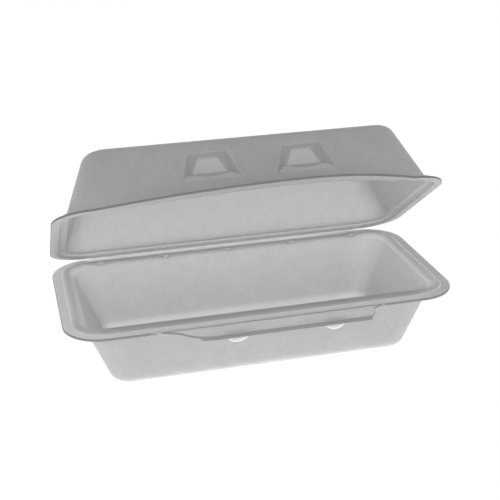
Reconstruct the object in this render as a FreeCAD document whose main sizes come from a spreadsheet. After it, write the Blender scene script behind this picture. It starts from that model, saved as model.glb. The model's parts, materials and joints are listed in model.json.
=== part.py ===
import FreeCAD, Part
import math
import os
import Sketcher

# Foam clamshell container: one thermoformed sheet of polystyrene foam with a tray, a hinged lid
# and a lock flap along the front of the tray. Millimetres. The origin is the centre of the tray's
# underside, +X runs along the hinge, -Y is the front and +Z is up. The lid stands part open.

os.makedirs("parts", exist_ok=True)
doc = FreeCAD.newDocument("foam_clamshell")
V = FreeCAD.Vector

# Driving dimensions: alias, value in millimetres or degrees, what it is
SIZES = [
    ("rim_length", 222.25, "rim, outside, along the hinge"),
    ("rim_width", 114.3, "rim, outside, front to back"),
    ("rim_corner", 22.3, "outer corner radius of both rims"),
    ("rim_height", 38.8, "top of the tray's flange above the table"),
    ("sheet", 2.2, "foam wall, square to the draft of the walls"),
    ("flange_thick", 1.3, "pressed flange of both rims"),
    ("edge_round", 0.45, "rounding of the flanges' cut edges"),
    ("floor_corner", 10.4, "corner radius of the tray underside"),
    ("floor_round", 6.0, "edge between the tray's underside and walls"),
    ("brim_end", 10.875, "tray's flange, rim edge to the wall under it, at each end"),
    ("brim_side", 7.65, "tray's flange, rim edge to the wall under it, front and back"),
    ("slope_end", 14.85, "run of the tray's end walls from the flange in to the underside"),
    ("slope_side", 11.5, "run of the tray's front and back walls"),
    ("throat_corner", 18.0, "corner radius of the tray wall at the flange"),
    ("crest_rise", 1.7, "ridge inside the tray's flange, above it"),
    ("crest_foot", 5.2, "rim edge to the foot of the ridge"),
    ("crest_outer", 7.8, "rim edge to the top of the ridge, outer side"),
    ("crest_inner", 9.2, "rim edge to the top of the ridge, inner side"),
    ("crest_round", 0.5, "rounding along the top of the ridge"),
    ("flute_pitch", 40.5, "spacing of the flutes in the back ridge"),
    ("flute_wide", 8.0, "width of one flute"),
    ("flute_count", 5, "number of flutes"),
    ("flute_in", 1.5, "how far a flute stands to each side of the ridge's inner edge"),
    ("flute_tall", 2.6, "height of a flute"),
    ("flute_taper", 24.0, "taper of a flute towards its lower end, in degrees"),
    ("seam_gap", 0.3, "gap between the closed flanges, and at each crease"),
    ("lid_depth", 39.8, "lid, from the rim's face to the outside of its top"),
    ("lid_brim_end", 7.125, "lid's flange, rim edge to the wall, at each end"),
    ("lid_brim_side", 5.65, "lid's flange, rim edge to the wall, front and back"),
    ("lid_slope_end", 15.0, "run of the lid's end walls from the flange in to the top"),
    ("lid_slope_side", 11.5, "run of the lid's front and back walls"),
    ("lid_base_corner", 17.0, "corner radius of the lid wall at the flange"),
    ("panel_corner", 12.0, "corner radius of the lid top panel"),
    ("panel_round", 7.0, "edge between the lid's top and walls"),
    ("bead_foot", 3.6, "rim edge to the foot of the lid's bead"),
    ("bead_shoulder", 4.7, "rim edge to the shoulder of the lid's bead"),
    ("bead_rise", 1.9, "lid's bead above its flange"),
    ("groove_mouth", 4.7, "rim edge to the lid's groove that takes the tray's ridge"),
    ("groove_depth", 2.1, "depth of that groove"),
    ("groove_draft", 0.6, "taper of that groove's outer side"),
    ("arch_rise", 5.8, "rise of the lid's front flange at the top of its arch"),
    ("arch_shift", 30.0, "top of the arch, to the right of the middle"),
    ("open_angle", 34.0, "how far the lid stands open, in degrees"),
    ("lock_shift", 4.1, "lock, to the right of the middle"),
    ("lock_pitch", 53.6, "spacing of the two lugs and of the two windows"),
    ("pocket_low", 12.2, "flange to the bottom of a pocket, up the wall"),
    ("pocket_tall", 18.7, "height of a pocket on the wall"),
    ("pocket_foot", 35.4, "width of a pocket at its bottom"),
    ("pocket_head", 22.8, "width of a pocket at its top"),
    ("pocket_top_deep", 0.7, "depth of a pocket at its top"),
    ("pocket_lean", 4.0, "lean of a pocket's floor from upright, in degrees"),
    ("floor_foot", 24.6, "width of a pocket's floor at its bottom"),
    ("floor_head", 21.0, "width of a pocket's floor at its top"),
    ("floor_tall", 12.6, "height of a pocket's floor, down to its shelf"),
    ("window_drop", 2.9, "top of a pocket to the top of its window"),
    ("window_tall", 9.2, "height of a window"),
    ("window_foot", 20.2, "width of a window at its sill"),
    ("window_head", 11.8, "width of a window at its top"),
    ("window_round", 2.0, "radius of a window's top corners"),
    ("sill_dip", 3.0, "height of the curved dip in the shelf below a window's sill"),
    ("dip_deep", 0.3, "how far that dip goes behind the pocket's floor"),
    ("flap_reach", 16.0, "rim edge to the flap's free edge"),
    ("flap_rise", 1.6, "how far the flap's free edge stands above its root"),
    ("flap_edge", 2.5, "depth of the flap's turned-down edge"),
    ("flap_crown", 0.4, "crown of the flap between its root and its free edge"),
    ("edge_thick", 1.4, "thickness of the turned-down edge"),
    ("flap_left", 67.0, "middle to the flap's left root"),
    ("flap_right", 66.0, "middle to the flap's right root"),
    ("left_run", 34.0, "length of the S-curve at the flap's left end"),
    ("left_sweep", 2.4, "rise of each arc of that S-curve"),
    ("right_run", 14.5, "length of the curve at the flap's right end"),
    ("right_curl", 11.0, "radius of the hollow in the flap's right end"),
    ("corner_round", 2.0, "rounding of the flap's right corner"),
    ("lug_half", 6.9, "half the width of a round lug where it joins the flap"),
    ("lug_drop", 3.2, "lug below the flap's turned-down edge"),
    ("lug_thick", 2.0, "thickness of a lug"),
]
sheet = doc.addObject("Spreadsheet::Sheet", "Sizes")
for row, (alias, value, meaning) in enumerate(SIZES, start=1):
    sheet.set("A%d" % row, alias)
    sheet.set("B%d" % row, str(value))
    sheet.set("C%d" % row, meaning)
    sheet.setAlias("B%d" % row, alias)
doc.recompute()
ALIASES = {alias for alias, _, _ in SIZES}

# Sums of named sizes, written with spaces and factors, such as "rim_height - 0.5*sheet"


def terms(text):
    sign = "+"
    for word in text.split():
        if word in ("+", "-"):
            sign = word
        else:
            factor, _, name = word.rpartition("*")
            yield sign, float(factor or 1), name


def number(text):
    """The value of a sum of sizes."""
    total = 0.0
    for sign, factor, name in terms(text):
        value = float(sheet.get(name)) if name in ALIASES else float(name)
        total += factor * value if sign == "+" else -factor * value
    return total


def formula(text):
    """The same sum as an expression on the sheet."""
    words = []
    for sign, factor, name in terms(text):
        words.append("%s %g * %s" % (sign, factor, "Sizes." + name if name in ALIASES else name))
    return "(0 " + " ".join(words) + ")"


def scaled(text, factor):
    """The sum with every term multiplied by a factor."""
    return " + ".join("%.5f*%s" % (factor * share * (1 if sign == "+" else -1), name)
                      for sign, share, name in terms(text))


def new_body(name):
    body = doc.addObject("PartDesign::Body", name)
    body.Label = name
    return body


def new_sketch(body, name, role, height=None):
    """A sketch on one of the body's own origin planes, moved along its normal by a height."""
    sk = body.newObject("Sketcher::SketchObject", name)
    origin_plane = [f for f in body.Origin.OriginFeatures if f.Role == role][0]
    sk.AttachmentSupport = [(origin_plane, "")]
    sk.MapMode = "FlatFace"
    if height:
        sk.setExpression("AttachmentOffset.Base.z", formula(height))
    return sk


def bind(sk, name, expression, *constraint):
    index = sk.addConstraint(Sketcher.Constraint(*constraint))
    sk.renameConstraint(index, name)
    sk.setExpression("Constraints." + name, expression)


def rounded_sketch(body, name, height, length, width, corner):
    """A rectangle with round corners about the origin. Each size is a pair: value, expression."""
    half_l = length[0] / 2
    half_w = width[0] / 2
    r = corner[0]
    sk = new_sketch(body, name, "XY_Plane", height)
    corners = [(half_l - r, -half_w + r, -1), (half_l - r, half_w - r, 0),
               (-half_l + r, half_w - r, 1), (-half_l + r, -half_w + r, 2)]
    sides = [((-half_l + r, -half_w), (half_l - r, -half_w)),
             ((half_l, -half_w + r), (half_l, half_w - r)),
             ((half_l - r, half_w), (-half_l + r, half_w)),
             ((-half_l, half_w - r), (-half_l, -half_w + r))]
    for (start, end), (cx, cy, turn) in zip(sides, corners):
        sk.addGeometry(Part.LineSegment(V(*start, 0), V(*end, 0)), False)
        circle = Part.Circle(V(cx, cy, 0), V(0, 0, 1), r)
        arc = Part.ArcOfCircle(circle, turn * math.pi / 2, (turn + 1) * math.pi / 2)
        sk.addGeometry(arc, False)
    for i in range(8):
        sk.addConstraint(Sketcher.Constraint("Tangent", i, 2, (i + 1) % 8, 1))
    for i, kind in ((0, "Horizontal"), (2, "Vertical"), (4, "Horizontal"), (6, "Vertical")):
        sk.addConstraint(Sketcher.Constraint(kind, i))
    for i in (3, 5, 7):
        sk.addConstraint(Sketcher.Constraint("Equal", 1, i))
    sk.addConstraint(Sketcher.Constraint("Symmetric", 0, 1, 4, 1, -1, 1))
    bind(sk, "length", length[1], "DistanceX", 6, 1, 2, 1, 2 * half_l)
    bind(sk, "width", width[1], "DistanceY", 0, 1, 4, 1, 2 * half_w)
    bind(sk, "corner", corner[1], "Radius", 1, r)
    return sk


def rounded_outline(body, name, base, inset, height):
    """The outline whose length, width and corner base gives, moved in by an inset."""
    sizes = []
    for size, sides in zip(base, (2, 2, 1)):
        sizes.append((number(size) - sides * number(inset),
                      "%s - %d * %s" % (formula(size), sides, formula(inset))))
    return rounded_sketch(body, name, height, *sizes)


def tapered_outline(body, name, near, far, near_z, far_z, depth, inset):
    """The outline of a tapered wall at a depth from its near end, moved in by an inset."""
    share = number(depth) / abs(number(far_z) - number(near_z))
    rule = "%s / abs(%s - %s)" % (formula(depth), formula(far_z), formula(near_z))
    sizes = []
    for low, high, sides in zip(near, far, (2, 2, 1)):
        value = number(low) + (number(high) - number(low)) * share - sides * number(inset)
        sizes.append((value, "%s + (%s - %s) * %s - %d * %s"
                      % (formula(low), formula(high), formula(low), rule, sides, formula(inset))))
    towards = 1 if number(far_z) > number(near_z) else -1
    return rounded_sketch(body, name, near_z + " + " + scaled(depth, towards), *sizes)


def basin(body, kind, name, near, far, near_z, far_z, inset, radius):
    """A tapered solid whose near end is rounded: the walls' draft gives the turn of the edge."""
    depth = abs(number(far_z) - number(near_z))
    draft = math.atan((number(far[0]) - number(near[0]) + number(far[1]) - number(near[1])) / 4 / depth)
    turn = math.pi / 2 - draft
    reach = math.tan(turn / 2)
    steps = 4
    sections = []
    for step in range(steps + 1):
        t = turn * step / steps
        down = 1 - math.cos(t)
        away = reach - math.sin(t) + down * math.tan(draft)
        fall = scaled(radius, down)
        shift = inset + " + " + scaled(radius, away)
        sections.append(tapered_outline(body, "%sRound%d" % (name, step), near, far,
                                        near_z, far_z, fall, shift))
    feature = body.newObject("PartDesign::" + kind, name + "Edge")
    feature.Profile = sections[0]
    feature.Sections = sections[1:]
    doc.recompute()
    rim = rounded_outline(body, name + "Rim", far, inset, far_z)
    return loft(body, kind, name, sections[-1], rim)


def outline(sk, points, rises=None):
    """A closed outline, counter-clockwise, whose corners are sums of sizes. An edge in rises is
    an arc that stands out by that much, or is hollowed by it where the sum is negative."""
    rises = rises or {}
    at = [V(number(x), number(y), 0) for x, y in points]
    ends = []
    for i, (start, end) in enumerate(zip(at, at[1:] + at[:1])):
        if i not in rises:
            sk.addGeometry(Part.LineSegment(start, end), False)
            ends.append((1, 2))
            continue
        rise = number(rises[i])
        chord = end - start
        radius = chord.Length ** 2 / (8 * abs(rise)) + abs(rise) / 2
        outwards = V(chord.y, -chord.x, 0).normalize()
        side = 1 if rise > 0 else -1
        centre = start + chord * 0.5 + outwards * (side * (abs(rise) - radius))
        first, last = (start, end) if rise > 0 else (end, start)
        a = math.atan2(first.y - centre.y, first.x - centre.x)
        b = math.atan2(last.y - centre.y, last.x - centre.x)
        if b < a:
            b += 2 * math.pi
        sk.addGeometry(Part.ArcOfCircle(Part.Circle(centre, V(0, 0, 1), radius), a, b), False)
        ends.append((1, 2) if rise > 0 else (2, 1))
    count = len(at)
    for i in range(count):
        j = (i + 1) % count
        sk.addConstraint(Sketcher.Constraint("Coincident", i, ends[i][1], j, ends[j][0]))
    for i, (x, y) in enumerate(points):
        start = (i, ends[i][0])
        bind(sk, "x%d" % i, formula(x), "DistanceX", -1, 1, *start, at[i].x)
        bind(sk, "y%d" % i, formula(y), "DistanceY", -1, 1, *start, at[i].y)
    for i, rise in rises.items():
        (x0, y0), (x1, y1) = points[i], points[(i + 1) % count]
        span = "((%s - %s)^2 + (%s - %s)^2)" % (formula(x1), formula(x0), formula(y1), formula(y0))
        height = "abs(%s)" % formula(rise)
        bind(sk, "radius%d" % i, "%s / (8 * %s) + %s / 2" % (span, height, height),
             "Radius", i, sk.Geometry[i].Radius)
    return sk


def loft(body, kind, name, first, last):
    feature = body.newObject("PartDesign::" + kind, name)
    feature.Profile = first
    feature.Sections = [last]
    feature.Ruled = True
    doc.recompute()
    return feature


def extrude(body, kind, name, sk, length, middle=False, reverse=False):
    feature = body.newObject("PartDesign::" + kind, name)
    feature.Profile = sk
    feature.setExpression("Length", formula(length))
    feature.Midplane = middle
    feature.Reversed = reverse
    doc.recompute()
    return feature


def round_level(body, name, heights, radius):
    """Rounds every edge that lies wholly at one of the heights."""
    base = body.Tip
    names = []
    for i, edge in enumerate(base.Shape.Edges, start=1):
        box = edge.BoundBox
        for height in heights:
            if abs(box.ZMin - number(height)) < 0.01 and abs(box.ZMax - number(height)) < 0.01:
                names.append("Edge%d" % i)
    feature = body.newObject("PartDesign::Fillet", name)
    feature.Base = (base, names)
    feature.setExpression("Radius", formula(radius))
    doc.recompute()
    return feature


RIM = ("rim_length", "rim_width", "rim_corner")
THROAT = ("rim_length - 2*brim_end", "rim_width - 2*brim_side", "throat_corner")
FLOOR = (THROAT[0] + " - 2*slope_end", THROAT[1] + " - 2*slope_side", "floor_corner")
LID_BASE = ("rim_length - 2*lid_brim_end", "rim_width - 2*lid_brim_side", "lid_base_corner")
PANEL = (LID_BASE[0] + " - 2*lid_slope_end", LID_BASE[1] + " - 2*lid_slope_side", "panel_corner")
FRONT = "-0.5*rim_width"

# Tray: tapered walls, a pressed flange and the ridge inside it, hollowed to one sheet
tray = new_body("tray")
UNDER_FLANGE = "rim_height - flange_thick"
RIDGE_TOP = "rim_height + crest_rise"
basin(tray, "AdditiveLoft", "TrayWalls", FLOOR, THROAT, "0", UNDER_FLANGE, "0", "floor_round")
extrude(tray, "Pad", "TrayFlange",
        rounded_outline(tray, "FlangeOutline", RIM, "0", UNDER_FLANGE), "flange_thick")
round_level(tray, "FlangeRound", ["rim_height"], "edge_round")
loft(tray, "AdditiveLoft", "Ridge",
     rounded_outline(tray, "RidgeFoot", RIM, "crest_foot", "rim_height"),
     rounded_outline(tray, "RidgeTop", RIM, "crest_outer", RIDGE_TOP))
round_level(tray, "RidgeRound", [RIDGE_TOP], "crest_round")
basin(tray, "SubtractiveLoft", "Cavity", FLOOR, THROAT, "sheet", UNDER_FLANGE, "sheet",
      "floor_round - sheet")
loft(tray, "SubtractiveLoft", "Shoulder",
     rounded_outline(tray, "ShoulderLow", THROAT, "sheet", UNDER_FLANGE),
     rounded_outline(tray, "ShoulderHigh", RIM, "crest_inner", RIDGE_TOP))

# Between the flap's two roots the flange's front edge is left sharp, so that the crease is tight
land = new_sketch(tray, "FoldLand", "XY_Plane", "rim_height")
outline(land, [("-1*flap_left", FRONT), ("flap_right", FRONT),
               ("flap_right", FRONT + " + 2*edge_round"), ("-1*flap_left", FRONT + " + 2*edge_round")])
extrude(tray, "Pad", "FoldEdge", land, "0.5*flange_thick", reverse=True)

# Short upright flutes stiffen the ridge along the hinge
FLUTE_LINE = "0.5*rim_width - crest_inner"
for i in range(int(number("flute_count"))):
    place = "%g*flute_pitch" % (i - (number("flute_count") - 1) / 2)
    flute = new_sketch(tray, "Flute%d" % i, "XY_Plane", RIDGE_TOP)
    outline(flute, [(place + " - 0.5*flute_wide", FLUTE_LINE), (place + " + 0.5*flute_wide", FLUTE_LINE)],
            {0: "flute_in", 1: "flute_in"})
    cut = extrude(tray, "Pocket", "FluteCut%d" % i, flute, "flute_tall")
    cut.setExpression("TaperAngle", "-1 * Sizes.flute_taper * 1 deg")

# Lid, modelled closed: tapered walls, flange, the bead over the tray's ridge and the groove in it
lid = new_body("lid")
LID_FACE = "rim_height + seam_gap"
LID_FLANGE_TOP = LID_FACE + " + flange_thick"
LID_TOP = LID_FACE + " + lid_depth"
GROOVE_TOP = LID_FACE + " + groove_depth"
basin(lid, "AdditiveLoft", "LidWalls", PANEL, LID_BASE, LID_TOP, LID_FLANGE_TOP, "0", "panel_round")
extrude(lid, "Pad", "LidFlange", rounded_outline(lid, "LidRim", RIM, "0", LID_FACE), "flange_thick")
round_level(lid, "LidFlangeRound", [LID_FLANGE_TOP], "edge_round")
loft(lid, "AdditiveLoft", "Bead",
     rounded_outline(lid, "BeadFoot", RIM, "bead_foot", LID_FLANGE_TOP),
     rounded_outline(lid, "BeadShoulder", RIM, "bead_shoulder", LID_FLANGE_TOP + " + bead_rise"))

# The front flange arches up between the corners, highest to the right of the middle
ARCH_LEFT = "-0.5*rim_length + rim_corner"
ARCH_RIGHT = "0.5*rim_length - rim_corner"
UNDER_RIM = LID_FACE + " - flange_thick"
under_arch = new_sketch(lid, "UnderArch", "XZ_Plane", "0.5*rim_width + flange_thick")
outline(under_arch, [(ARCH_LEFT, UNDER_RIM), (ARCH_RIGHT, UNDER_RIM), (ARCH_RIGHT, LID_FACE),
                     ("arch_shift", LID_FACE + " + arch_rise"), (ARCH_LEFT, LID_FACE)],
        {2: "0.25*arch_rise", 3: "0.25*arch_rise"})
extrude(lid, "Pocket", "ArchOpening", under_arch,
        "flange_thick + lid_brim_side + 2*sheet")
arch_band = new_sketch(lid, "ArchBand", "XZ_Plane", "0.5*rim_width")
outline(arch_band, [(ARCH_LEFT, LID_FACE), ("arch_shift", LID_FACE + " + arch_rise"),
                    (ARCH_RIGHT, LID_FACE), (ARCH_RIGHT, LID_FLANGE_TOP),
                    ("arch_shift", LID_FLANGE_TOP + " + arch_rise"), (ARCH_LEFT, LID_FLANGE_TOP)],
        {0: "-0.25*arch_rise", 1: "-0.25*arch_rise", 3: "0.25*arch_rise", 4: "0.25*arch_rise"})
extrude(lid, "Pad", "ArchFlange", arch_band,
        "lid_brim_side + 2*sheet", reverse=True)

# Hollow under the walls, and the groove that passes over the tray's ridge
basin(lid, "SubtractiveLoft", "LidCavity", PANEL, LID_BASE, LID_TOP + " - sheet", GROOVE_TOP,
      "sheet", "panel_round - sheet")
loft(lid, "SubtractiveLoft", "Groove",
     rounded_outline(lid, "GrooveMouth", RIM, "groove_mouth", LID_FACE),
     rounded_outline(lid, "GrooveEnd", RIM, "groove_mouth + groove_draft", GROOVE_TOP))

# Two wedge-shaped pockets in the lid's front wall, each with a window for a lug
LEAN = "atan(Sizes.lid_slope_side / (Sizes.lid_depth - Sizes.flange_thick))"


def wall_sketch(name, x, up, deep, lean):
    """A sketch on the front wall: up the wall from the flange, deep behind its face, leaning."""
    sk = new_sketch(lid, name, "XZ_Plane")
    up, deep = formula(up), formula(deep)
    height = "%s + %s * cos(%s) - %s * sin(%s)" % (formula(LID_FLANGE_TOP), up, LEAN, deep, LEAN)
    face = formula("0.5*rim_width - lid_brim_side")
    front = "%s - %s * sin(%s) - %s * cos(%s)" % (face, up, LEAN, deep, LEAN)
    sk.setExpression("AttachmentOffset",
                     "placement(vector(%s; %s; %s); rotation(vector(1; 0; 0); -1 * %s))"
                     % (formula(x), height, front, lean))
    doc.recompute()
    return sk


def trapezium(sk, foot, head, low, high):
    """A trapezium about the sketch's own upright axis."""
    outline(sk, [("-0.5*" + foot, low), ("0.5*" + foot, low), ("0.5*" + head, high),
                 ("-0.5*" + head, high)])
    return sk


FLOOR_LEAN = "Sizes.pocket_lean * 1 deg"
POCKET_HIGH = "pocket_low + pocket_tall"
for side, place in (("Left", "lock_shift - 0.5*lock_pitch"), ("Right", "lock_shift + 0.5*lock_pitch")):
    back = wall_sketch("BossBack" + side, place, POCKET_HIGH, "pocket_top_deep + sheet", FLOOR_LEAN)
    outline(back, [("-0.5*floor_foot - sheet", "-1*floor_tall - 0.2*sheet"),
                   ("0.5*floor_foot + sheet", "-1*floor_tall - 0.2*sheet"),
                   ("0.5*floor_head + sheet", "0"), ("-0.5*floor_head - sheet", "0")])
    front = wall_sketch("BossFront" + side, place, "0", "0.3*sheet", LEAN)
    outline(front, [("-0.5*pocket_foot - sheet", "pocket_low - sheet"),
                    ("0.5*pocket_foot + sheet", "pocket_low - sheet"),
                    ("0.5*pocket_head + sheet", POCKET_HIGH + " + sheet"),
                    ("-0.5*pocket_head - sheet", POCKET_HIGH + " + sheet")])
    loft(lid, "AdditiveLoft", "Boss" + side, front, back)
    mouth = trapezium(wall_sketch("PocketMouth" + side, place, "0", "-0.1*sheet", LEAN),
                      "pocket_foot", "pocket_head", "pocket_low", POCKET_HIGH)
    floor = trapezium(wall_sketch("PocketFloor" + side, place, POCKET_HIGH, "pocket_top_deep", FLOOR_LEAN),
                      "floor_foot", "floor_head", "-1*floor_tall", "-1*pocket_top_deep")
    loft(lid, "SubtractiveLoft", "Pocket" + side, mouth, floor)
    window = wall_sketch("Window" + side, place, POCKET_HIGH, "pocket_top_deep - 0.5*sheet", FLOOR_LEAN)
    sill = "-1*window_drop - window_tall"
    outline(window, [("-0.5*window_foot", sill), ("0.5*window_foot", sill),
                     ("0.5*window_head + 0.4*window_round", "-1*window_drop - window_round"),
                     ("0.5*window_head - window_round", "-1*window_drop"),
                     ("-0.5*window_head + window_round", "-1*window_drop"),
                     ("-0.5*window_head - 0.4*window_round", "-1*window_drop - window_round")],
            {2: "0.4*window_round", 4: "0.4*window_round"})
    extrude(lid, "Pocket", "WindowCut" + side, window, "3*sheet")
    dip = wall_sketch("Dip" + side, place, POCKET_HIGH, "pocket_top_deep - sheet", FLOOR_LEAN)
    outline(dip, [("-0.5*window_foot", sill), ("0.5*window_foot", sill),
                  ("0.5*window_foot", sill + " + 0.2*sheet"), ("-0.5*window_foot", sill + " + 0.2*sheet")],
            {0: "sill_dip"})
    extrude(lid, "Pocket", "DipCut" + side, dip, "sheet + dip_deep")
lid.setExpression("Placement",
                  "placement(vector(0; 0; 0); rotation(vector(1; 0; 0); -1 * Sizes.open_angle * 1 deg);"
                  " vector(0; %s; %s))" % (formula("0.5*rim_width + 0.5*seam_gap"),
                                           formula("rim_height + 0.5*seam_gap")))

# Lock flap: the front flange carried out past its crease, with a turned-down edge and two lugs
flap = new_body("lock_flap")
ROOT = FRONT + " - seam_gap"
FREE = FRONT + " - flap_reach"
section = new_sketch(flap, "FlapSection", "YZ_Plane", "-1*flap_left")
outline(section, [(ROOT, "rim_height - flange_thick"), (ROOT, "rim_height"),
                  (FREE, "rim_height + flap_rise"), (FREE, "rim_height + flap_rise - flap_edge"),
                  (FREE + " + edge_thick", "rim_height + flap_rise - flap_edge"),
                  (FREE + " + edge_thick + 0.3*edge_thick", "rim_height + flap_rise - flange_thick")],
        {1: "flap_crown", 5: "-1*flap_crown"})
extrude(flap, "Pad", "FlapSheet", section, "flap_left + flap_right")

# Plan of the flap: a long S-curve at its left end, a short hollow curve at its right end
CLEAR = "flap_reach"
left_end = new_sketch(flap, "LeftEnd", "XY_Plane", "rim_height + flap_rise + flap_edge")
outline(left_end, [("-1*flap_left - " + CLEAR, FRONT),
                   ("-1*flap_left - " + CLEAR, FREE + " - " + CLEAR),
                   ("-1*flap_left + left_run", FREE + " - " + CLEAR),
                   ("-1*flap_left + left_run", FREE),
                   ("-1*flap_left + 0.5*left_run", FRONT + " - 0.5*flap_reach"),
                   ("-1*flap_left", FRONT)],
        {3: "-1*left_sweep", 4: "left_sweep"})
extrude(flap, "Pocket", "LeftEndCut", left_end, "rim_height")
right_end = new_sketch(flap, "RightEnd", "XY_Plane", "rim_height + flap_rise + flap_edge")
outline(right_end, [("flap_right", FRONT),
                    ("flap_right - right_curl", FRONT + " - right_curl"),
                    ("flap_right - right_run + 0.5*corner_round", FREE + " + corner_round"),
                    ("flap_right - right_run - corner_round", FREE),
                    ("flap_right - right_run - corner_round", FREE + " - " + CLEAR),
                    ("flap_right + " + CLEAR, FREE + " - " + CLEAR),
                    ("flap_right + " + CLEAR, FRONT)],
        {0: "0.29289*right_curl", 2: "-0.25*corner_round"})
extrude(flap, "Pocket", "RightEndCut", right_end, "rim_height")

lug_high = "rim_height + flap_rise - 0.5*flange_thick"
for side, place in (("Left", "lock_shift - 0.5*lock_pitch"), ("Right", "lock_shift + 0.5*lock_pitch")):
    lug = new_sketch(flap, "Lug" + side, "XZ_Plane", "0.5*rim_width + flap_reach - edge_thick")
    outline(lug, [(place + " + lug_half", lug_high), (place + " - lug_half", lug_high)],
            {1: "flap_edge + lug_drop - 0.5*flange_thick"})
    extrude(flap, "Pad", "LugPad" + side, lug, "lug_thick", reverse=True)
doc.recompute()

for item in doc.Objects:
    if "Invalid" in item.State or "Error" in item.State:
        raise RuntimeError("failed: " + item.Name)
for body in (tray, lid, flap):
    shape = body.Shape
    if shape.isNull() or not shape.isValid() or len(shape.Solids) != 1:
        raise RuntimeError("not one valid solid: " + body.Label)
    shape.exportStep("parts/%s.step" % body.Label)
    print(body.Label, round(shape.Volume), "cubic mm")
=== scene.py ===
"""Looks, light and camera for the foam clamshell container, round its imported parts."""

import json
import math

import bmesh
import bpy
from bpy.props import FloatProperty, FloatVectorProperty, PointerProperty, StringProperty
from mathutils import Matrix, Vector


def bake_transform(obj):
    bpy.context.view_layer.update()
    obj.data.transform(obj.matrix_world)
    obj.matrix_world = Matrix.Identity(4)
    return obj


bl_info = {
    "name": "Foam Clamshell Container",
    "version": (1, 0, 0),
    "blender": (4, 5, 0),
    "location": "3D View > Sidebar > Container",
    "description": "Foam finish, pressed creases and studio for a hinged foam food container",
    "category": "Object",
}

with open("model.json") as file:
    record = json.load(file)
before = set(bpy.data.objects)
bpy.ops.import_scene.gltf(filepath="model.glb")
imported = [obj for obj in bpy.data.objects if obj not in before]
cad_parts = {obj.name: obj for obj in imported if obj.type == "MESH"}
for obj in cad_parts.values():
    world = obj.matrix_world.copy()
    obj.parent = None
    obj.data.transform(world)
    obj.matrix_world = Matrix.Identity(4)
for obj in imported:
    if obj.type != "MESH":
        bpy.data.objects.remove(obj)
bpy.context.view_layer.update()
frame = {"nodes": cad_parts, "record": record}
MM = 0.001
LENGTH = {"subtype": "DISTANCE", "unit": "LENGTH"}
ANGLE = {"subtype": "ANGLE", "unit": "ROTATION"}
SHARE = {"min": 0.0, "max": 1.0, "subtype": "FACTOR"}

# The lid's hinge line and the lock flap's fold, and how far open the lid stands, from the joints
JOINTS = {j["child"]: j for j in frame["record"]["behaviour"]["joints"]}
HINGE = Vector(JOINTS["lid"]["pos_m"])
FOLD = Vector(JOINTS["lock_flap"]["pos_m"])
LID_TILT = math.radians(-JOINTS["lid"]["range_deg"][0])
# Turns the open lid's directions to where they point when it is shut, and back
SHUTTING = Matrix.Rotation(LID_TILT, 3, "X")
OPENING = SHUTTING.inverted()


def corners(node):
    """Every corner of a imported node's mesh, in the object's own frame."""
    return [v.co.copy() for v in frame["nodes"][node].data.vertices]


def run_along(node, reach):
    """Where a node's rearmost edge begins and ends in X."""
    return [pick(co.x for co in corners(node) if co.y > reach - 0.05 * MM) for pick in (min, max)]


# Half the length and width of the rims, from the tray, whose flange is its widest part
RIM_HALF = [max(co[axis] for co in corners("tray")) for axis in (0, 1)]
# The hinge runs along the straight part of the rims' back edges, the fold along the flap's root
HINGE_RUN = run_along("tray", RIM_HALF[1])
FOLD_RUN = run_along("lock_flap", max(co.y for co in corners("lock_flap")))

# Where camera and lamps are aimed: the container's middle
AIM = Vector((0, 0, 50 * MM))
# Softboxes: azimuth and elevation in degrees, distance and side in metres
FRONT_BOX = (-13.5, 21.7, 0.75, 0.5)
BACK_BOX = (180, 35, 1.2, 1.0)
# The white paper as the camera sees it: mostly its own white, with a trace of shadow on it
PAPER_WHITE = 0.965
PAPER_TRACE = 0.12
# Half the side of the table, in metres
TABLE_HALF = 6

# Polystyrene's own index is 1.59. A foam's skin shines less, which a lower one matches
FOAM_IOR = 1.45
FOAM_SHINE = 0.25
SKIN_ROUGHNESS = 0.55
CRUSHED_ROUGHNESS = 0.6
# Share of light that enters the foam where it is pinched flat at a cut edge. Painted shade lets in less
# light by going part of the way towards it
PINCHED_OR_SHADED_LIGHT = 0.1
# From a cell's middle to its border, in cell widths, and the skin's tone at both
CELL_REACH = 0.9
CELL_TONE = (1.07, 0.91)
# Tone of the skin in the darkest and the palest cloud
CLOUD_TONE = (0.96, 1.04)
# Tone of crushed foam in the darkest and the palest wrinkle, and how a wrinkle's pattern is
# squeezed in each direction: it runs across the crease, which runs in X
WRINKLE_TONE = (0.95, 1.04)
WRINKLE_SQUEEZE = (1, 0.25, 0.25)
# Most of a noise texture's values lie between these
NOISE_REACH = (0.25, 0.75)
# Strength of the bump that cells and wrinkles give
CELL_BUMP = 0.45
WRINKLE_BUMP = 0.4

# Half the width over which a mask's border fades: at a cut edge, at the ridge, behind the lid's
# front wall, and at the ends of a run in X
EDGE_FADE = 0.1 * MM
RIDGE_FADE = 0.6 * MM
WALL_FADE = 0.15 * MM
RUN_FADE = 1 * MM
# Width over which the flange's painted shade and pale tint set in, and the pockets' at their top
FOOT_FADE = 0.4 * MM
LOCK_FADE = 0.5 * MM
# How far behind the face of the lid's front wall its pockets begin
POCKET_SKIN = 0.4 * MM
# How far from the middle line the back half, or the front half, is fully reached
HALF_FADE = 20 * MM
# Where more shade is painted: in Y towards the front of the ridge, in X towards the flange's right end
RIDGE_FRONT = (-20 * MM, -45 * MM)
FLANGE_RIGHT = (50 * MM, 105 * MM)
# Above the hinge, where the lid's ceiling is looked for
CEILING_RISE = (10 * MM, 20 * MM)
# From where to where a face's direction counts: how level an upright face may be, how far up the
# ceiling and a pocket's shelf face, and how far out of the front wall a pocket and a window's edge do
UPRIGHT = (0.6, 0.4)
CEILING = (-0.85, -0.97)
SHELF = (0.5, 0.7)
POCKET = (0.06, 0.12)
WINDOW = ((-0.06, -0.03), (0.06, 0.03))

# A crease's sides, and what is left of its thickness at its ends
CREASE_SIDES = 16
CREASE_TIP = 0.08


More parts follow.
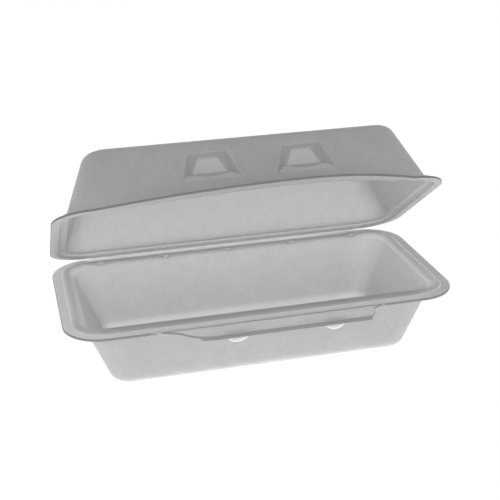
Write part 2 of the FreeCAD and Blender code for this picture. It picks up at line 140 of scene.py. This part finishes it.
def colour(code):
    """An sRGB hex value as the linear colour that a node takes."""
    channels = [int(code.lstrip("#")[i:i + 2], 16) / 255 for i in (0, 2, 4)]
    linear = [c / 12.92 if c <= 0.04045 else ((c + 0.055) / 1.055) ** 2.4 for c in channels]
    return (*linear, 1.0)


class FoamSettings(bpy.types.PropertyGroup):
    skin: StringProperty(
        name="Skin", description="sRGB hex of the foam's smooth skin", default="#C3C3C2")
    cut: StringProperty(
        name="Cut edge", description="sRGB hex of the sheet's cut and pinched edges", default="#8E8E8D")
    # Painted shade: this darker tint stands in for the shade on the tray's ridge and inside the lid's
    # pockets
    thin: StringProperty(
        name="Shade on ridge and pockets", description="sRGB hex of the shade painted on the ridge and in the pockets",
        default="#B4B4B3")
    # Painted light: the lid's ceiling is tinted paler, standing in for light that reaches it through
    # the foam
    inner: StringProperty(
        name="Light on the lid's ceiling", description="sRGB hex of the ceiling inside the lid", default="#EAEAE9")
    # Painted light: a paler tint for the hinge's crease, the flange beside the hinge and the pockets'
    # shelves
    crushed: StringProperty(
        name="Light on crushed foam", description="sRGB hex of the paler tint, painted light, in and beside a crease and on the pockets' shelves",
        default="#D6D6D5")
    cell: FloatProperty(
        name="Cell", description="Width of the foam cells that show through the skin",
        default=0.8 * MM, **LENGTH)
    cloud: FloatProperty(
        name="Cloud", description="Width of the soft patches left by uneven stretching",
        default=9 * MM, **LENGTH)
    relief: FloatProperty(
        name="Relief", description="Height of the cells on the surface", default=0.04 * MM, **LENGTH)
    depth: FloatProperty(
        name="Light depth", description="How far light wanders inside the foam",
        default=15 * MM, **LENGTH)
    rim_corner: FloatProperty(
        name="Rim corner", description="Outer corner radius of both rims", default=22.3 * MM, **LENGTH)
    edge_wide: FloatProperty(
        name="Cut edge's width", description="How far the cut edge's tone reaches in from a rim's edge",
        default=0.3 * MM, **LENGTH)
    ridge_foot: FloatProperty(
        name="Ridge foot", description="Rim edge to the foot of the tray's ridge",
        default=5.2 * MM, **LENGTH)
    ridge_top: FloatProperty(
        name="Ridge top", description="Rim edge to the top of the tray's ridge",
        default=7.8 * MM, **LENGTH)
    # Painted shade: these darken the flange, the flap and the front of the ridge, most at the flange's
    # right, by letting less light into the foam
    painted_shade: FloatProperty(
        name="Shade on flange and flap", description="How near the pressed foam comes to the darkness of a cut edge",
        default=0.4, **SHARE)
    right_flange_painted_shade: FloatProperty(
        name="Hardest pressed", description="The same at the right of the tray's flange",
        default=0.7, **SHARE)
    lug_drop: FloatProperty(
        name="Lug drop", description="How far the lugs hang below the flap's turned-down edge",
        default=3.2 * MM, **LENGTH)
    wall_foot: FloatVectorProperty(
        name="Wall foot", description="A point on the shut lid's front wall, where it meets the flange",
        size=3, default=(0, -51.5 * MM, 40.4 * MM), subtype="XYZ", unit="LENGTH")
    wall_lean: FloatProperty(
        name="Wall lean", description="Lean of the lid's front wall from upright",
        default=math.radians(16.63), **ANGLE)
    lock_middle: FloatProperty(
        name="Lock middle", description="Middle of the lock, to the right of the container's middle",
        default=4.1 * MM, **LENGTH)
    lock_reach: FloatProperty(
        name="Lock reach", description="Middle of the lock to the outer side of each pocket",
        default=44.5 * MM, **LENGTH)
    lock_top: FloatProperty(
        name="Lock top", description="Height just above the pockets when the lid is shut",
        default=71 * MM, **LENGTH)
    lock_deep: FloatProperty(
        name="Lock depth", description="How far behind the front wall the pockets are looked for",
        default=20 * MM, **LENGTH)


class CreaseSettings(bpy.types.PropertyGroup):
    hinge_thick: FloatProperty(
        name="Hinge crease", description="Thickness of the crushed crease along the lid's hinge",
        default=1.0 * MM, **LENGTH)
    fold_thick: FloatProperty(
        name="Flap crease", description="Thickness of the crushed crease along the flap's root",
        default=0.5 * MM, **LENGTH)
    fold_wide: FloatProperty(
        name="Flap crease's width", description="Width of that crease, over the gap at the flap's root",
        default=1.4 * MM, **LENGTH)
    fold_proud: FloatProperty(
        name="Flap crease's height", description="How far that crease stands above the flange",
        default=0.03 * MM, **LENGTH)
    # Painted light: the flap's crease is near-white, standing in for the light that does not enter it
    fold_painted_light: StringProperty(
        name="Flap crease's painted light", description="sRGB hex of the near-white painted light on the flap's crease",
        default="#F4F4F3")
    wrinkle: FloatProperty(
        name="Wrinkle", description="Width of the wrinkles in the crushed foam",
        default=0.8 * MM, **LENGTH)
    wrinkle_deep: FloatProperty(
        name="Wrinkle's depth", description="Depth of those wrinkles", default=0.05 * MM, **LENGTH)
    taper: FloatProperty(
        name="Taper", description="Run over which a crease thins out at each end",
        default=5 * MM, **LENGTH)
    spacing: FloatProperty(
        name="Spacing", description="Distance between the crease's sections",
        default=1.2 * MM, **LENGTH)


class StudioSettings(bpy.types.PropertyGroup):
    azimuth: FloatProperty(
        name="Azimuth", description="Camera round the container, 0 from the front",
        default=math.radians(-13.521451), **ANGLE)
    elevation: FloatProperty(
        name="Elevation", description="Camera above the horizon",
        default=math.radians(21.685226), **ANGLE)
    roll: FloatProperty(
        name="Roll", description="Turn of the picture about the line of sight",
        default=math.radians(-1.388910), **ANGLE)
    distance: FloatProperty(
        name="Distance", description="Camera to the container's middle",
        default=618.3596 * MM, **LENGTH)
    slide: FloatVectorProperty(
        name="Slide", description="Camera moved to the right and up in its own picture plane",
        size=2, default=(1.9357 * MM, 6.1266 * MM), subtype="XYZ", unit="LENGTH")
    lens: FloatProperty(
        name="Lens", description="Focal length in millimetres, for a 36 mm sensor",
        default=75.95, unit="CAMERA")
    floor: StringProperty(
        name="Floor", description="sRGB hex of the table and the paper behind it", default="#FFFFFF")
    sky: FloatProperty(
        name="Sky", description="Even light from all round", default=0.31, min=0.0)
    table_glow: FloatProperty(
        name="Table glow", description="Light that comes up through the white table",
        default=0.75, min=0.0)
    front: FloatProperty(
        name="Front", description="Power of the softbox beside the camera", default=1.0, unit="POWER")
    back: FloatProperty(
        name="Back", description="Power of the softbox behind", default=0.75, unit="POWER")


def put(tree, kind, inputs=None, **fields):
    """Adds one node and sets its fields. An input, by its name or number, is linked to another
    node's first output or to a given output, or is set to a plain value."""
    node = tree.nodes.new(kind)
    for field, value in fields.items():
        setattr(node, field, value)
    for name, value in (inputs or {}).items():
        if isinstance(value, bpy.types.Node):
            value = value.outputs[0]
        if isinstance(value, bpy.types.NodeSocket):
            tree.links.new(value, node.inputs[name])
        else:
            node.inputs[name].default_value = value
    return node


def mask(tree, *parts):
    """A product of masks. A part is a mask, or a soft step (value, low, high): 0 up to low and 1
    from high, or the other way round where low is the higher."""
    product = None
    for part in parts:
        if isinstance(part, tuple):
            value, low, high = part
            part = put(tree, "ShaderNodeMapRange",
                       {"Value": value, "From Min": min(low, high), "From Max": max(low, high),
                        "To Min": float(low > high), "To Max": float(low < high)},
                       interpolation_type="SMOOTHSTEP")
        if product is not None:
            part = put(tree, "ShaderNodeMath", {0: product, 1: part}, operation="MULTIPLY")
        product = part
    return product


def band(value, low, high, fade):
    """The two steps of a mask that is 1 between two values."""
    return (value, low - fade, low + fade), (value, high + fade, high - fade)


def rim_distance(tree, place, settings):
    """How far a point lies, in plan, outside the centres of a rim's four round corners. On the rim's
    cut edge that is the corner radius, and the widths of bands along the rim count down from it."""
    centre = (RIM_HALF[0] - settings.rim_corner, RIM_HALF[1] - settings.rim_corner, 1.0)
    size = put(tree, "ShaderNodeVectorMath", {0: place}, operation="ABSOLUTE")
    past = put(tree, "ShaderNodeVectorMath", {0: size, 1: centre}, operation="SUBTRACT")
    clear = put(tree, "ShaderNodeVectorMath", {0: past, 1: (0, 0, 0)}, operation="MAXIMUM")
    return put(tree, "ShaderNodeVectorMath", {0: clear}, operation="LENGTH").outputs["Value"]


def flap_zones(tree, place, settings):
    """The lock flap: its cut edge, no tint colours, and the painted shade that lets less light into its
    foam. It is cut all round but at its root, so its upright faces are cut ones, but for those of the
    two lugs."""
    level = put(tree, "ShaderNodeVectorMath", {0: place.outputs["Normal"], 1: (0, 0, 1)},
                operation="DOT_PRODUCT")
    steep = put(tree, "ShaderNodeMath", {0: level.outputs["Value"]}, operation="ABSOLUTE")
    where = put(tree, "ShaderNodeSeparateXYZ", {"Vector": place.outputs["Object"]})
    lugs = min(co.z for co in corners("lock_flap")) + settings.lug_drop
    above = mask(tree, (where.outputs["Z"], lugs - EDGE_FADE, lugs + EDGE_FADE))
    cut = mask(tree, (steep.outputs[0], *UPRIGHT), above)
    # Painted shade: the flap above its lugs' bottom is darkened, letting less light into the foam
    return cut, [], [(above, settings.painted_shade)]


def lock_zones(tree, point, where, up, normal, settings):
    """The lid's lock: its windows' cut edges, and the painted shade inside its pockets and painted
    light on their shelves."""
    lean = settings.wall_lean
    inwards = Vector((0, math.cos(lean), -math.sin(lean)))
    deep = put(tree, "ShaderNodeVectorMath", {0: point, 1: inwards}, operation="DOT_PRODUCT")
    out = put(tree, "ShaderNodeVectorMath", {0: normal, 1: OPENING @ -inwards}, operation="DOT_PRODUCT")
    # The pockets lie behind the face of the front wall, up to the height of their tops
    wall = inwards.dot(Vector(settings.wall_foot)) + POCKET_SKIN
    lock = mask(tree, *band(where.outputs["X"], settings.lock_middle - settings.lock_reach,
                            settings.lock_middle + settings.lock_reach, RUN_FADE),
                (where.outputs["Z"], settings.lock_top + LOCK_FADE, settings.lock_top),
                *band(deep.outputs["Value"], wall, wall + settings.lock_deep, WALL_FADE))
    # Painted shade inside the pockets, and painted light on their up-facing shelves
    pocket = mask(tree, lock, (out.outputs["Value"], *POCKET))
    shelf = mask(tree, pocket, (up, *SHELF))
    window = mask(tree, lock, *[(out.outputs["Value"], *side) for side in WINDOW])
    return window, [(pocket, settings.thin), (shelf, settings.crushed)]


def rim_zones(tree, node, place, settings):
    """Tray or lid: its cut edge, its tint colours of painted light and painted shade, and where painted
    shade darkens its foam.
    """
    point = place.outputs["Object"]
    if node == "lid":
        # The lid stands open: its points are turned back to where they lie when it is shut
        point = put(tree, "ShaderNodeMapping",
                    {"Vector": point, "Location": HINGE - SHUTTING @ HINGE,
                     "Rotation": (LID_TILT, 0, 0)}).outputs[0]
    where = put(tree, "ShaderNodeSeparateXYZ", {"Vector": point})
    across, along = where.outputs["Y"], where.outputs["X"]
    far = rim_distance(tree, point, settings)
    edge = settings.rim_corner - settings.edge_wide
    foot = settings.rim_corner - settings.ridge_foot
    # Beside the hinge, and at the flap's root, the sheet runs on and has no cut edge
    behind = mask(tree, *band(along, *HINGE_RUN, RUN_FADE), (across, 0, HALF_FADE))
    elsewhere = put(tree, "ShaderNodeMath", {0: 1.0, 1: behind}, operation="SUBTRACT")
    cut = mask(tree, (far, edge - EDGE_FADE, edge + EDGE_FADE), elsewhere)
    flange = mask(tree, (far, foot, foot + FOOT_FADE))
    # Painted light: beside the hinge the flange is tinted pale; elsewhere it gets painted shade
    light_and_shade_tints = [(mask(tree, flange, behind), settings.crushed)]
    painted_shades = [(mask(tree, flange, elsewhere), settings.painted_shade)]
    if node == "tray":
        ahead = mask(tree, *band(along, *FOLD_RUN, RUN_FADE), (across, 0, -HALF_FADE))
        cut = mask(tree, cut, put(tree, "ShaderNodeMath", {0: 1.0, 1: ahead}, operation="SUBTRACT"))
        # Painted shade: the ridge is tinted darker, its front is darkened further by letting less light
        # into the foam, and the flange at the right most of all
        ridge = mask(tree, *band(far, settings.rim_corner - settings.ridge_top, foot, RIDGE_FADE))
        light_and_shade_tints.append((mask(tree, ridge, elsewhere), settings.thin))
        painted_shades.append((mask(tree, ridge, (across, *RIDGE_FRONT)), settings.painted_shade))
        painted_shades.append((mask(tree, flange, (along, *FLANGE_RIGHT)), settings.right_flange_painted_shade))
    else:
        normal = place.outputs["Normal"]
        up = put(tree, "ShaderNodeVectorMath", {0: normal, 1: OPENING @ Vector((0, 0, 1))},
                 operation="DOT_PRODUCT").outputs["Value"]
        # Painted light: the ceiling, which faces down when the lid is shut, is tinted paler
        ceiling = mask(tree, (up, *CEILING),
                       (where.outputs["Z"], *[HINGE.z + rise for rise in CEILING_RISE]))
        window, lock_light_and_shade_tints = lock_zones(tree, point, where, up, normal, settings)
        cut = put(tree, "ShaderNodeMath", {0: cut, 1: window}, operation="MAXIMUM")
        light_and_shade_tints += [(ceiling, settings.inner), *lock_light_and_shade_tints]
    return cut, light_and_shade_tints, painted_shades


def foam_body(shader, settings, roughness):
    """Sets what is the same all over a piece of foam: a dull shine, and light that wanders far in."""
    for name, value in (("Roughness", roughness), ("IOR", FOAM_IOR), ("Specular IOR Level", FOAM_SHINE),
                        ("Subsurface Radius", (1, 1, 1)), ("Subsurface Scale", settings.depth)):
        shader.inputs[name].default_value = value


def foam_material(node, settings):
    """Extruded polystyrene foam sheet, vacuum-formed."""
    # A pale closed skin with a soft sheen, faintly mottled by the cells under it and clouded where
    # the sheet was stretched. A cut edge is darker, because the die pinches its cells flat and less
    # light enters it. Painted shade darkens the flange, the flap and the ridge's front the same way,
    # with less light let in, and tint colours paint shade on the ridge and in the pockets and paint
    # light on the lid's ceiling, the pockets' shelves and the flange beside the hinge. The cells are
    # drawn coarser than the real ones, so that they show
    material = bpy.data.materials.new("Polystyrene foam sheet, " + node.replace("_", " "))
    material.use_nodes = True
    tree = material.node_tree
    shader = tree.nodes["Principled BSDF"]
    foam_body(shader, settings, SKIN_ROUGHNESS)
    place = put(tree, "ShaderNodeTexCoord")
    point = place.outputs["Object"]
    cells = put(tree, "ShaderNodeTexVoronoi", {"Vector": point, "Scale": 1 / settings.cell})
    clouds = put(tree, "ShaderNodeTexNoise",
                 {"Vector": point, "Scale": 1 / settings.cloud, "Detail": 3.0, "Roughness": 0.55})
    mottled = put(tree, "ShaderNodeMapRange",
                  {"Value": cells.outputs["Distance"], "From Max": CELL_REACH,
                   "To Min": CELL_TONE[0], "To Max": CELL_TONE[1]})
    clouded = put(tree, "ShaderNodeMapRange",
                  {"Value": clouds.outputs["Fac"], "From Min": NOISE_REACH[0],
                   "From Max": NOISE_REACH[1], "To Min": CLOUD_TONE[0], "To Max": CLOUD_TONE[1]})
    shade = put(tree, "ShaderNodeMath", {0: mottled, 1: clouded}, operation="MULTIPLY")
    surface = put(tree, "ShaderNodeVectorMath", {0: colour(settings.skin)[:3], "Scale": shade},
                  operation="SCALE").outputs[0]
    if node == "lock_flap":
        cut, light_and_shade_tints, painted_shades = flap_zones(tree, place, settings)
    else:
        cut, light_and_shade_tints, painted_shades = rim_zones(tree, node, place, settings)
    # Tint colours of painted light and shade, then the cut edge's own colour
    for share, code in (*light_and_shade_tints, (cut, settings.cut)):
        surface = put(tree, "ShaderNodeMix", {"Factor": share, 6: surface, 7: colour(code)},
                      data_type="RGBA").outputs[2]
    tree.links.new(surface, shader.inputs["Base Color"])
    # Less light enters at a cut edge, and where shade is painted on the foam
    pinched = cut
    for share, weight in painted_shades:
        shaded = put(tree, "ShaderNodeMath", {0: share, 1: weight}, operation="MULTIPLY")
        pinched = put(tree, "ShaderNodeMath", {0: pinched, 1: shaded}, operation="MAXIMUM")
    enters = put(tree, "ShaderNodeMapRange", {"Value": pinched, "To Min": 1.0, "To Max": PINCHED_OR_SHADED_LIGHT})
    tree.links.new(enters.outputs[0], shader.inputs["Subsurface Weight"])
    grain = put(tree, "ShaderNodeBump", {"Height": cells.outputs["Distance"],
                                         "Strength": CELL_BUMP, "Distance": settings.relief})
    tree.links.new(grain.outputs[0], shader.inputs["Normal"])
    return material


class OBJECT_OT_foam_finish(bpy.types.Operator):
    """Gives the tray, the lid and the lock flap their foam"""
    bl_idname = "object.foam_finish"
    bl_label = "Foam finish"

    def execute(self, context):
        for node in ("tray", "lid", "lock_flap"):
            mesh = frame["nodes"][node].data
            mesh.materials.clear()
            mesh.materials.append(foam_material(node, context.scene.foam))
        return {"FINISHED"}


def crushed_material(name, context, code, lit_through):
    """Polystyrene foam crushed thin in a crease, tinted paler as painted light."""
    # Paler than the skin as painted light, also lit through where it stands free, and finely wrinkled
    # across its run
    settings = context.scene.crease
    material = bpy.data.materials.new("Crushed polystyrene foam, " + name)
    material.use_nodes = True
    tree = material.node_tree
    shader = tree.nodes["Principled BSDF"]
    foam_body(shader, context.scene.foam, CRUSHED_ROUGHNESS)
    shader.inputs["Subsurface Weight"].default_value = lit_through
    place = put(tree, "ShaderNodeTexCoord")
    stretched = put(tree, "ShaderNodeMapping",
                    {"Vector": place.outputs["Object"], "Scale": WRINKLE_SQUEEZE})
    wrinkles = put(tree, "ShaderNodeTexNoise",
                   {"Vector": stretched, "Scale": 1 / settings.wrinkle, "Detail": 2.0})
    shade = put(tree, "ShaderNodeMapRange",
                {"Value": wrinkles.outputs["Fac"], "From Min": NOISE_REACH[0],
                 "From Max": NOISE_REACH[1], "To Min": WRINKLE_TONE[0], "To Max": WRINKLE_TONE[1]})
    base = put(tree, "ShaderNodeVectorMath", {0: colour(code)[:3], "Scale": shade}, operation="SCALE")
    tree.links.new(base.outputs[0], shader.inputs["Base Color"])
    grain = put(tree, "ShaderNodeBump", {"Height": wrinkles.outputs["Fac"],
                                         "Strength": WRINKLE_BUMP, "Distance": settings.wrinkle_deep})
    tree.links.new(grain.outputs[0], shader.inputs["Normal"])
    return material


def crease_tree():
    """A crease: an oval bead of crushed foam along a straight line in X."""
    tree = bpy.data.node_groups.new("Crease", "GeometryNodeTree")
    for name, kind in (("Geometry", "Geometry"), ("Start", "Vector"), ("End", "Vector"),
                       ("Thickness", "Float"), ("Width", "Float"), ("Taper", "Float"),
                       ("Spacing", "Float"), ("Material", "Material")):
        tree.interface.new_socket(name, in_out="INPUT", socket_type="NodeSocket" + kind)
    tree.interface.new_socket("Geometry", in_out="OUTPUT", socket_type="NodeSocketGeometry")
    given = put(tree, "NodeGroupInput").outputs
    line = put(tree, "GeometryNodeCurvePrimitiveLine", {"Start": given["Start"], "End": given["End"]})
    even = put(tree, "GeometryNodeResampleCurve", {"Curve": line, "Length": given["Spacing"]},
               mode="LENGTH")
    half = put(tree, "ShaderNodeMath", {0: given["Thickness"], 1: 0.5}, operation="MULTIPLY")
    circle = put(tree, "GeometryNodeCurvePrimitiveCircle", {"Radius": half, "Resolution": CREASE_SIDES})
    wide = put(tree, "ShaderNodeMath", {0: given["Width"], 1: given["Thickness"]}, operation="DIVIDE")
    stretch = put(tree, "ShaderNodeCombineXYZ", {"X": wide, "Y": 1.0, "Z": 1.0})
    oval = put(tree, "GeometryNodeTransform", {"Geometry": circle, "Scale": stretch})
    # It thins out at both ends: its scale follows the distance to the nearer end
    along = put(tree, "GeometryNodeSplineParameter").outputs["Length"]
    whole = put(tree, "GeometryNodeSplineLength").outputs["Length"]
    rest = put(tree, "ShaderNodeMath", {0: whole, 1: along}, operation="SUBTRACT")
    near = put(tree, "ShaderNodeMath", {0: along, 1: rest}, operation="MINIMUM")
    full = put(tree, "ShaderNodeMapRange",
               {"Value": near, "From Max": given["Taper"], "To Min": CREASE_TIP, "To Max": 1.0})
    bead = put(tree, "GeometryNodeCurveToMesh",
               {"Curve": even, "Profile Curve": oval, "Scale": full, "Fill Caps": True})
    soft = put(tree, "GeometryNodeSetShadeSmooth", {"Geometry": bead})
    real = put(tree, "GeometryNodeRealizeInstances", {"Geometry": soft})
    finish = put(tree, "GeometryNodeSetMaterial", {"Geometry": real, "Material": given["Material"]})
    put(tree, "NodeGroupOutput", {"Geometry": finish})
    return tree


class OBJECT_OT_creases(bpy.types.Operator):
    """Joins the lid and the lock flap to the tray with their crushed creases"""
    bl_idname = "object.creases"
    bl_label = "Creases"

    def crease(self, context, tree, name, start, end, thickness, width, material):
        """One crease as a plain mesh, made by the crease tree."""
        settings = context.scene.crease
        mesh = bpy.data.meshes.new(name)
        piece = bpy.data.objects.new(name, mesh)
        context.collection.objects.link(piece)
        modifier = piece.modifiers.new("Crease", "NODES")
        modifier.node_group = tree
        values = {"Start": start, "End": end, "Thickness": thickness, "Width": width,
                  "Taper": settings.taper, "Spacing": settings.spacing, "Material": material}
        for item in tree.interface.items_tree:
            if item.in_out == "INPUT" and item.name in values:
                modifier[item.identifier] = values[item.name]
        context.view_layer.update()
        evaluated = piece.evaluated_get(context.evaluated_depsgraph_get())
        piece.data = bpy.data.meshes.new_from_object(evaluated)
        piece.data.name = name
        piece.modifiers.clear()
        bpy.data.meshes.remove(mesh)
        if not piece.data.vertices:
            raise RuntimeError("the crease is empty: " + name)
        return piece

    def execute(self, context):
        settings = context.scene.crease
        tree = crease_tree()
        # The hinge's crease takes the pale painted-light tint, and is lit through as well
        hinge = self.crease(context, tree, "hinge_crease", (HINGE_RUN[0], *HINGE.yz),
                            (HINGE_RUN[1], *HINGE.yz), settings.hinge_thick, settings.hinge_thick,
                            crushed_material("hinge", context, context.scene.foam.crushed, 1.0))
        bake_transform(hinge)
        # The flap's crease fills the gap at its root and stands a hair above the flange's top. It is
        # lit from above only, because light that entered it would be lost in the foam round it; its
        # near-white tone is painted light that stands in for that lost light
        level = FOLD.z - settings.fold_thick / 2 + settings.fold_proud
        fold = self.crease(context, tree, "flap_crease", (FOLD_RUN[0] - settings.taper, FOLD.y, level),
                           (FOLD_RUN[1] + settings.taper / 2, FOLD.y, level),
                           settings.fold_thick, settings.fold_wide,
                           crushed_material("fold", context, settings.fold_painted_light, 0.0))
        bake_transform(fold)
        return {"FINISHED"}


def seen(tree):
    """1 for what the camera sees, straight on, in a reflection or through glass; 0 for light."""
    sight = put(tree, "ShaderNodeLightPath").outputs
    gloss = put(tree, "ShaderNodeMath", {0: sight["Is Camera Ray"], 1: sight["Is Glossy Ray"]},
                operation="MAXIMUM")
    return put(tree, "ShaderNodeMath", {0: gloss, 1: sight["Is Transmission Ray"]},
               operation="MAXIMUM")


def towards(azimuth, elevation):
    """The direction from the container to a place round it, azimuth 0 at the front."""
    return Vector((math.sin(azimuth) * math.cos(elevation),
                   -math.cos(azimuth) * math.cos(elevation), math.sin(elevation)))


class SCENE_OT_studio(bpy.types.Operator):
    """Sets the pale table, the soft lamps and the camera"""
    bl_idname = "scene.studio"
    bl_label = "Studio"

    def table(self, context, studio):
        """A wide sheet of white paper under the container."""
        mesh = bpy.data.meshes.new("Table")
        bm = bmesh.new()
        bmesh.ops.create_grid(bm, x_segments=1, y_segments=1, size=TABLE_HALF)
        bm.to_mesh(mesh)
        bm.free()
        table = bpy.data.objects.new("Table", mesh)
        context.collection.objects.link(table)
        # White background paper: it lights the foam from below as a matt sheet, and is seen as white
        paper = bpy.data.materials.new("White background paper")
        paper.use_nodes = True
        tree = paper.node_tree
        tree.nodes.clear()
        white = colour(studio.floor)
        matt = put(tree, "ShaderNodeBsdfDiffuse", {"Color": white})
        glow = put(tree, "ShaderNodeEmission", {"Strength": studio.table_glow})
        lit = put(tree, "ShaderNodeAddShader", {0: matt, 1: glow})
        bright = put(tree, "ShaderNodeEmission", {"Color": white, "Strength": PAPER_WHITE})
        trace = put(tree, "ShaderNodeBsdfDiffuse", {"Color": (*[PAPER_TRACE] * 3, 1.0)})
        shown = put(tree, "ShaderNodeAddShader", {0: bright, 1: trace})
        pick = put(tree, "ShaderNodeMixShader", {"Fac": seen(tree), 1: lit, 2: shown})
        put(tree, "ShaderNodeOutputMaterial", {"Surface": pick})
        mesh.materials.append(paper)

    def world(self, context, studio):
        """Even light from all round, and white behind the container."""
        world = bpy.data.worlds.new("Even studio light")
        world.use_nodes = True
        tree = world.node_tree
        tree.nodes.clear()
        white = (1, 1, 1, 1)
        even = put(tree, "ShaderNodeBackground", {"Color": white, "Strength": studio.sky})
        shown = put(tree, "ShaderNodeBackground", {"Color": white, "Strength": 1.0})
        pick = put(tree, "ShaderNodeMixShader", {"Fac": seen(tree), 1: even, 2: shown})
        put(tree, "ShaderNodeOutputWorld", {"Surface": pick})
        context.scene.world = world

    def lamp(self, context, name, power, azimuth, elevation, distance, side):
        """A square softbox aimed at the container."""
        back = towards(math.radians(azimuth), math.radians(elevation))
        data = bpy.data.lights.new(name, "AREA")
        data.energy = power
        data.size = side
        lamp = bpy.data.objects.new(name, data)
        lamp.location = AIM + back * distance
        lamp.rotation_mode = "QUATERNION"
        lamp.rotation_quaternion = (-back).to_track_quat("-Z", "Y")
        context.collection.objects.link(lamp)

    def camera(self, context, studio):
        """The camera at the photograph's angle."""
        back = towards(studio.azimuth, studio.elevation)
        level = Vector((math.cos(studio.azimuth), math.sin(studio.azimuth), 0))
        upright = back.cross(level)
        right = level * math.cos(studio.roll) + upright * math.sin(studio.roll)
        up = upright * math.cos(studio.roll) - level * math.sin(studio.roll)
        place = AIM + back * studio.distance + right * studio.slide[0] + up * studio.slide[1]
        data = bpy.data.cameras.new("Camera")
        data.sensor_width = 36
        data.lens = studio.lens
        data.clip_start, data.clip_end = 0.01, 20
        camera = bpy.data.objects.new("Camera", data)
        camera.matrix_world = Matrix((
            (right.x, up.x, back.x, place.x),
            (right.y, up.y, back.y, place.y),
            (right.z, up.z, back.z, place.z),
            (0, 0, 0, 1)))
        context.collection.objects.link(camera)
        context.scene.camera = camera

    def execute(self, context):
        studio = context.scene.studio_set
        self.table(context, studio)
        self.world(context, studio)
        self.lamp(context, "Front softbox", studio.front, *FRONT_BOX)
        self.lamp(context, "Back softbox", studio.back, *BACK_BOX)
        self.camera(context, studio)
        context.scene.view_settings.view_transform = "Standard"
        return {"FINISHED"}


class VIEW3D_PT_container(bpy.types.Panel):
    """Sizes and colours of the container's looks"""
    bl_label = "Container"
    bl_idname = "VIEW3D_PT_container"
    bl_space_type = "VIEW_3D"
    bl_region_type = "UI"
    bl_category = "Container"

    def draw(self, context):
        scene = context.scene
        for group, operator in ((scene.foam, "object.foam_finish"), (scene.crease, "object.creases"),
                                (scene.studio_set, "scene.studio")):
            box = self.layout.box()
            for key in group.bl_rna.properties.keys():
                if key not in ("rna_type", "name"):
                    box.prop(group, key)
            box.operator(operator)


CLASSES = (FoamSettings, CreaseSettings, StudioSettings, OBJECT_OT_foam_finish, OBJECT_OT_creases,
           SCENE_OT_studio, VIEW3D_PT_container)


def register():
    for cls in CLASSES:
        bpy.utils.register_class(cls)
    bpy.types.Scene.foam = PointerProperty(type=FoamSettings)
    bpy.types.Scene.crease = PointerProperty(type=CreaseSettings)
    bpy.types.Scene.studio_set = PointerProperty(type=StudioSettings)


def unregister():
    del bpy.types.Scene.studio_set
    del bpy.types.Scene.crease
    del bpy.types.Scene.foam
    for cls in reversed(CLASSES):
        bpy.utils.unregister_class(cls)


def main():
    register()
    bpy.ops.object.foam_finish()
    bpy.ops.object.creases()
    bpy.ops.scene.studio()


if __name__ == "__main__":
    main()
